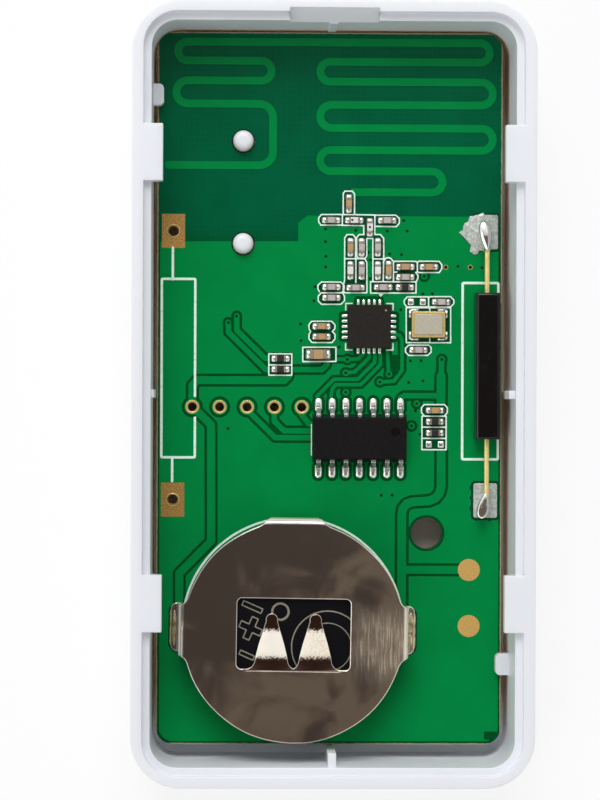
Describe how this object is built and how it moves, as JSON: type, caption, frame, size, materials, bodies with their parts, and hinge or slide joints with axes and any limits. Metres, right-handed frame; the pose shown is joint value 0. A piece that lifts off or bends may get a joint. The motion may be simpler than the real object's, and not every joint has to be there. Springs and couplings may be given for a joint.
{
  "type": "door and window sensor",
  "caption": "Opened main unit of a magnetic door and window sensor: white tray holding a circuit board with antenna, chips, reed switch and a coin cell in its clip.",
  "frame": {"origin": "middle of the housing's flat front face, which the opened unit lies on", "axes": "+Z out of the open side, +Y along the housing towards the antenna end, +X across it towards the reed switch"},
  "size_m": [0.0364, 0.071, 0.012],
  "materials": {
    "white_abs": "moulded, fine satin",
    "clear_acrylic": "clear, polished",
    "green_resist_board": "glass fibre board under glossy green solder resist",
    "resist_over_copper": "green solder resist over copper",
    "gold_pads": "thin gold over nickel",
    "gold_leads": "gold plated wire",
    "black_moulding": "moulded epoxy",
    "seal_glass": "clear green tinted",
    "solder": "soft satin solder",
    "tinned_leads": "tinned",
    "white_ceramic": "fired, matt",
    "grey_lid": "nickel plated lid",
    "tan_ceramic": "fired, satin",
    "grey_ceramic": "fired, satin",
    "black_glaze": "glazed",
    "nickel_plated_steel": "stamped and nickel plated",
    "cell_steel": "nickel plated deep drawn steel",
    "gasket_plastic": "moulded"
  },
  "bodies": {
    "main_unit": {"antenna_trace": "resist_over_copper", "battery_clip": "nickel_plated_steel", "battery_minus_pad": "gold_pads", "chip_end_caps": "tinned_leads", "chip_inductors": "white_ceramic", "chip_resistors": "black_glaze", "chip_solder": "solder", "circuit_board": "green_resist_board", "clip_pads": "gold_pads", "clip_solder": "solder", "controller_body": "black_moulding", "controller_leads": "tinned_leads", "controller_pads": "solder", "crystal_base": "white_ceramic", "crystal_lid": "grey_lid", "crystal_pads": "solder", "crystal_ring": "gold_pads", "empty_pads": "solder", "front_housing": "white_abs", "grey_capacitors": "grey_ceramic", "header_eyelets": "gold_pads", "large_capacitor": "tan_ceramic", "large_end_caps": "tinned_leads", "large_solder": "solder", "light_window": "clear_acrylic", "radio_body": "black_moulding", "radio_paddle": "solder", "radio_pads": "solder", "reed_fixed_blade": "gold_leads", "reed_glass": "seal_glass", "reed_moving_lead": "gold_leads", "reed_pads": "gold_pads", "reed_solder": "solder", "reed_switch_body": "black_moulding", "spare_reed_pads": "gold_pads", "status_led_base": "white_ceramic", "status_led_lens": "clear_acrylic", "tan_capacitors": "tan_ceramic", "test_pads": "gold_pads"},
    "coin_cell": {"cell_can": "cell_steel", "cell_gasket": "gasket_plastic", "cell_cap": "cell_steel"},
    "reed_contact": {"reed_moving_blade": "gold_leads"}
  },
  "joints": [
    {"name": "cell_slide", "type": "slide", "parent": "main_unit", "child": "coin_cell", "axis": [0, -1, 0], "range_m": [0, 0.0012]},
    {"name": "reed_close", "type": "hinge", "parent": "main_unit", "child": "reed_contact", "pos_m": [0.01435, -0.00095, 0.00655], "axis": [-1, 0, 0], "range_deg": [0, 0.8], "stiffness_Nm_per_rad": 0.001}
  ]
}
